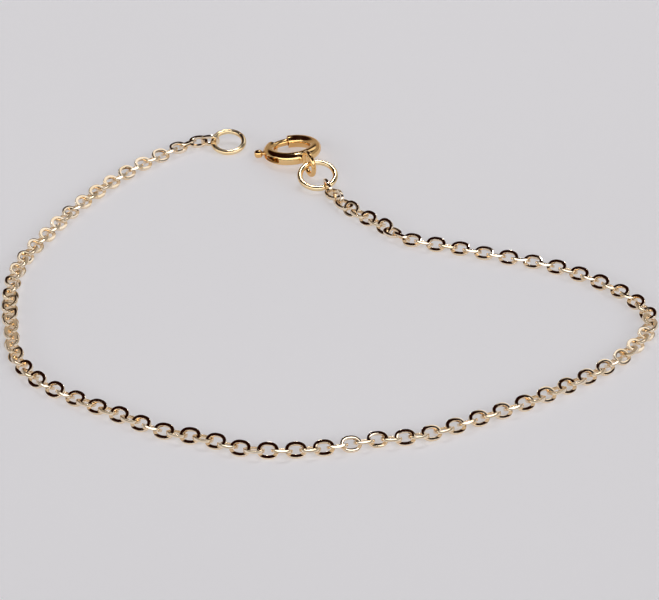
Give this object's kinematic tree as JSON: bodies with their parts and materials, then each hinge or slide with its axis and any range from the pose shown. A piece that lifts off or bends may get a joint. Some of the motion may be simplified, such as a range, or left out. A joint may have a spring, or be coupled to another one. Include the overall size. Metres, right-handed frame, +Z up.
{
  "type": "chain bracelet",
  "caption": "Fine flat cable chain bracelet lying unclasped in an open loop, with a spring-ring clasp on one end and a plain jump ring on the other.",
  "frame": {"origin": "on the surface that the bracelet lies on, under the middle of its bounding box", "axes": "+Z up from the surface; -Y towards the front curve of the chain, +Y towards the clasp; +X to the right of someone looking along +Y"},
  "size_m": [0.062, 0.0615, 0.0029],
  "materials": {
    "chain_gold": "polished yellow gold, flat faces bright, edges crisp",
    "ring_gold": "polished yellow gold wire",
    "clasp_gold": "polished gold, a little warmer than the chain"
  },
  "bodies": {
    "bracelet": {"chain": "chain_gold", "clasp_end_link": "chain_gold", "plain_end_link": "chain_gold", "clasp_ring": "ring_gold", "end_ring": "ring_gold", "clasp_body": "clasp_gold"},
    "trigger": {"trigger_bolt": "clasp_gold"}
  },
  "joints": [
    {"name": "trigger_slide", "type": "hinge", "parent": "bracelet", "child": "trigger", "pos_m": [-0.00385, 0.0265, 0.00097], "axis": [-0.1, 0.0839, 0.9914], "range_deg": [0, 52], "stiffness_Nm_per_rad": 0.0019}
  ]
}
